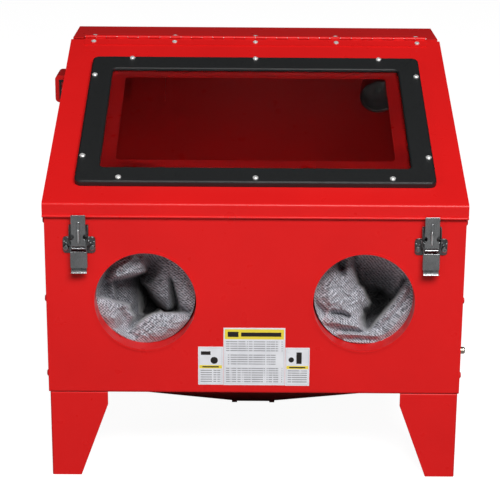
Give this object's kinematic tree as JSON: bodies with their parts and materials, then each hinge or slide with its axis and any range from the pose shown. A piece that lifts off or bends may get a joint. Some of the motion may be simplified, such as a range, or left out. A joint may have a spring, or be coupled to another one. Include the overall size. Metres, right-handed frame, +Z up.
{
  "type": "sandblast cabinet",
  "caption": "Bench-top abrasive blasting cabinet with hinged window lid, glove ports, draw latches, hopper, legs, lamp and blast gun.",
  "frame": {"origin": "centre of the four foot bolt holes, on the bench", "axes": "+Z up, +X right as the operator sees it, the front with the glove ports faces -Y"},
  "size_m": [0.5585, 0.5349, 0.4992],
  "materials": {
    "red_paint": "semi-gloss powder coat",
    "dark_red_paint": "semi-gloss powder coat in shade",
    "grate_steel": "perforated steel, blasted matt",
    "zinc": "zinc plated",
    "white_screw": "white-capped pan-head screws",
    "latch_steel": "pressed stainless steel",
    "glove_fabric": "coarse grey woven lining",
    "gasket_foam": "black foam",
    "frame_plastic": "fine-grained black plastic",
    "window_glass": "clear glass",
    "black_plastic": "satin black",
    "red_rocker": "translucent red rocker",
    "lamp_metal": "spun aluminium",
    "lamp_glass": "frosted lens",
    "brass_fitting": "nickel-worn brass",
    "hose_rubber": "black rubber",
    "hose_pvc": "milky reinforced PVC",
    "gun_metal": "die-cast aluminium",
    "nozzle_ceramic": "glazed ceramic",
    "placard_vinyl": "printed vinyl without lettering"
  },
  "bodies": {
    "cabinet": {"front_panel": "red_paint", "left_side_panel": "red_paint", "right_side_panel": "red_paint", "rear_panel": "red_paint", "top_panel": "red_paint", "hopper": "dark_red_paint", "gate_runners": "dark_red_paint", "grate": "grate_steel", "leg_front_left": "red_paint", "leg_front_right": "red_paint", "leg_rear_left": "red_paint", "leg_rear_right": "red_paint", "leg_bolts": "zinc", "panel_screws": "red_paint", "left_glove_collar": "red_paint", "right_glove_collar": "red_paint", "left_glove": "glove_fabric", "right_glove": "glove_fabric", "left_glove_clamp": "zinc", "right_glove_clamp": "zinc", "hinge_body_leaf": "red_paint", "hinge_pin": "zinc", "hinge_body_screws": "white_screw", "lid_gasket": "gasket_foam", "left_latch_base": "latch_steel", "right_latch_base": "latch_steel", "latch_screws": "latch_steel", "switch_box": "red_paint", "switch_housing": "black_plastic", "power_inlet": "black_plastic", "lamp_bracket": "lamp_metal", "lamp_housing": "lamp_metal", "lamp_bulb": "lamp_glass", "lamp_lens": "lamp_glass", "exhaust_port": "red_paint", "exhaust_baffle": "red_paint", "exhaust_screws": "zinc", "air_inlet_fitting": "brass_fitting", "air_hose": "hose_rubber", "media_hose": "hose_pvc", "pickup_tube": "zinc", "gun_body": "gun_metal", "gun_nozzle": "nozzle_ceramic", "placards": "placard_vinyl"},
    "lid": {"lid_panel": "red_paint", "hinge_lid_leaf": "red_paint", "hinge_lid_screws": "white_screw", "window_frame": "frame_plastic", "window_glass": "window_glass", "window_retainer": "red_paint", "window_screws": "white_screw"},
    "left_lever": {"left_latch_lever": "latch_steel"},
    "left_hook": {"left_latch_hook": "latch_steel"},
    "right_lever": {"right_latch_lever": "latch_steel"},
    "right_hook": {"right_latch_hook": "latch_steel"},
    "rocker": {"switch_rocker": "red_rocker"},
    "gate": {"hopper_gate": "dark_red_paint"},
    "trigger": {"gun_trigger": "black_plastic"}
  },
  "joints": [
    {"name": "lid_hinge", "type": "hinge", "parent": "cabinet", "child": "lid", "pos_m": [0, 0.1425, 0.4966], "axis": [-1, 0, 0], "range_deg": [0, 80]},
    {"name": "left_lever_pivot", "type": "hinge", "parent": "cabinet", "child": "left_lever", "pos_m": [-0.215, -0.247, 0.313], "axis": [-1, 0, 0], "range_deg": [0, 100]},
    {"name": "left_hook_pivot", "type": "hinge", "parent": "left_lever", "child": "left_hook", "pos_m": [-0.215, -0.2485, 0.304], "axis": [-1, 0, 0], "range_deg": [-105, 0]},
    {"name": "right_lever_pivot", "type": "hinge", "parent": "cabinet", "child": "right_lever", "pos_m": [0.215, -0.247, 0.313], "axis": [-1, 0, 0], "range_deg": [0, 100]},
    {"name": "right_hook_pivot", "type": "hinge", "parent": "right_lever", "child": "right_hook", "pos_m": [0.215, -0.2485, 0.304], "axis": [-1, 0, 0], "range_deg": [-105, 0]},
    {"name": "rocker_pivot", "type": "hinge", "parent": "cabinet", "child": "rocker", "pos_m": [-0.269, 0.1447, 0.4215], "axis": [1, 0, 0], "range_deg": [0, 24]},
    {"name": "gate_slide", "type": "slide", "parent": "cabinet", "child": "gate", "axis": [0, 1, 0], "range_m": [0, 0.055]},
    {"name": "trigger_pivot", "type": "hinge", "parent": "cabinet", "child": "trigger", "pos_m": [-0.004, 0.101, 0.134], "axis": [0, 0, -1], "range_deg": [0, 14], "stiffness_Nm_per_rad": 0.05, "springref_deg": -17.19}
  ],
  "couplings": [
    {"joint": "left_hook_pivot", "follows": "left_lever_pivot", "ratio": -1.05},
    {"joint": "right_hook_pivot", "follows": "right_lever_pivot", "ratio": -1.05}
  ]
}
